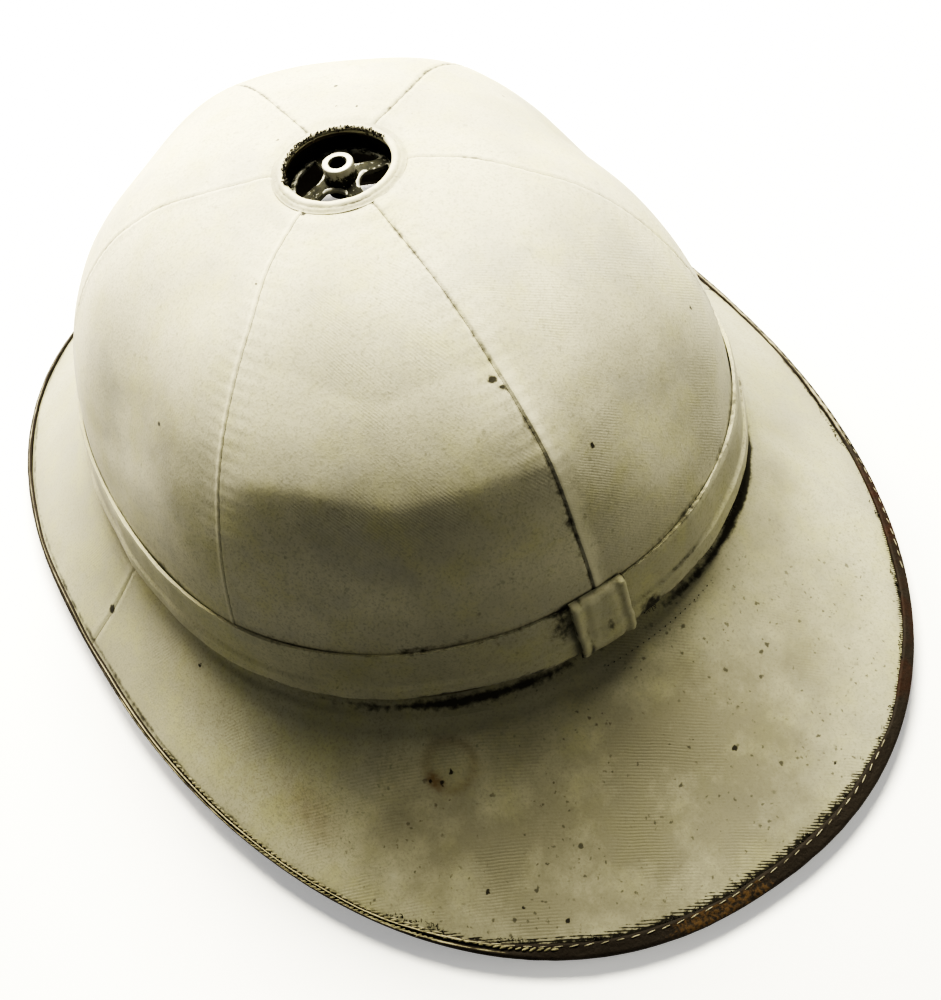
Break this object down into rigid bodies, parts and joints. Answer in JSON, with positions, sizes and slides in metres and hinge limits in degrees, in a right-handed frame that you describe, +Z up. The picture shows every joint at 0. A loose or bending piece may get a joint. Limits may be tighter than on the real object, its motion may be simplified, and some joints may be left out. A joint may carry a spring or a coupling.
{
  "type": "sun helmet",
  "caption": "Cloth-covered sun helmet with a gored dome crown, a wide sloping brim longest at the rear, a leather edge binding, a band with a keeper and an open top vent.",
  "frame": {"origin": "centre of the bounding box on the surface that the brim stands on", "axes": "+Z up, the wearer's front toward -Y, the long rear brim toward +Y"},
  "size_m": [0.2644, 0.37, 0.1444],
  "materials": {
    "crown_cloth": "matte",
    "brim_cloth": "matte",
    "band_cloth": "matte",
    "binding_leather": "worn satin",
    "pith": "matte",
    "painted_metal": "worn satin"
  },
  "bodies": {
    "root": {"shell_body": "pith", "crown_panel_1": "crown_cloth", "crown_panel_2": "crown_cloth", "crown_panel_3": "crown_cloth", "crown_panel_4": "crown_cloth", "crown_panel_5": "crown_cloth", "crown_panel_6": "crown_cloth", "brim_cloth_rear": "brim_cloth", "brim_cloth_front": "brim_cloth", "brim_binding": "binding_leather", "hat_band": "band_cloth", "band_loop": "band_cloth", "vent_ring": "crown_cloth", "vent_spider": "painted_metal"}
  },
  "joints": []
}
